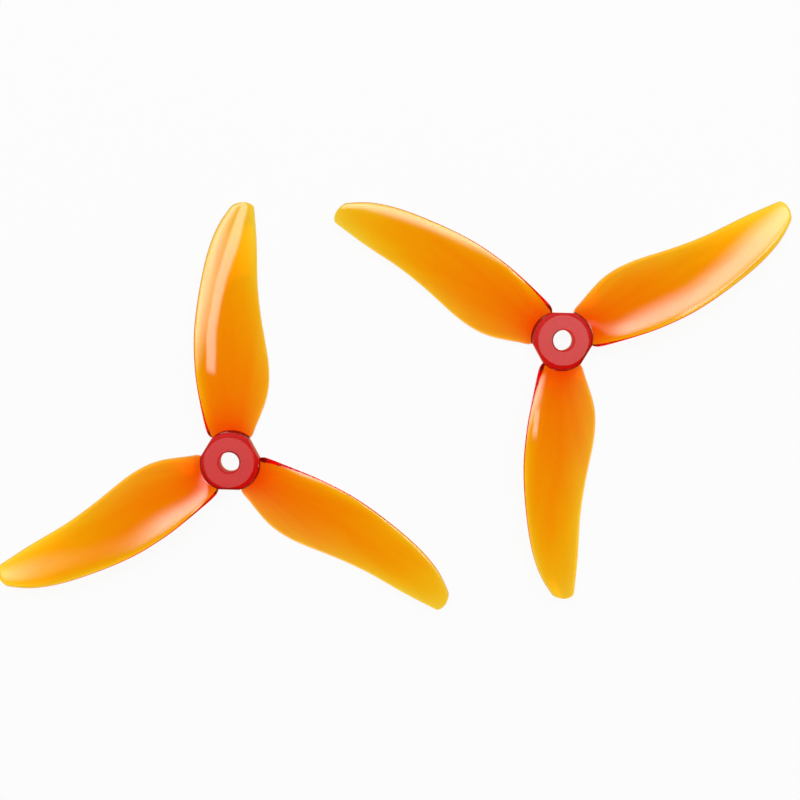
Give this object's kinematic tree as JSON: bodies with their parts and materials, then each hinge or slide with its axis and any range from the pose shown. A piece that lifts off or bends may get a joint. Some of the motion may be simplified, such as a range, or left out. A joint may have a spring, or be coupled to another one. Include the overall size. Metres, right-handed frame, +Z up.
{
  "type": "propeller pair",
  "caption": "Matched pair of small racing drone propellers, each with a bored hub and swept, twisted blades, one hand and its mirror image.",
  "frame": {"origin": "the counterclockwise propeller's bore axis where it meets the motor face, the underside of its hub", "axes": "+Z up along both bores, from the motor face to the nut face; +X and +Y lie in the plane that both propellers rest on, and the clockwise propeller lies towards +X and +Y"},
  "size_m": [0.1941, 0.1003, 0.0094],
  "materials": {
    "hub": "injection-moulded clear polycarbonate, tinted orange, deep red where it is this thick, satin from the mould",
    "blade": "injection-moulded clear polycarbonate, tinted orange, yellow at the thin tips, polished"
  },
  "bodies": {
    "ccw_propeller": {"ccw_hub": "hub", "ccw_blade_1": "blade", "ccw_blade_2": "blade", "ccw_blade_3": "blade"},
    "cw_propeller": {"cw_hub": "hub", "cw_blade_1": "blade", "cw_blade_2": "blade", "cw_blade_3": "blade"}
  },
  "joints": [
    {"name": "cw_lift", "type": "slide", "parent": "ccw_propeller", "child": "cw_propeller", "axis": [0, 0, 1], "range_m": [0, 0.03]}
  ]
}
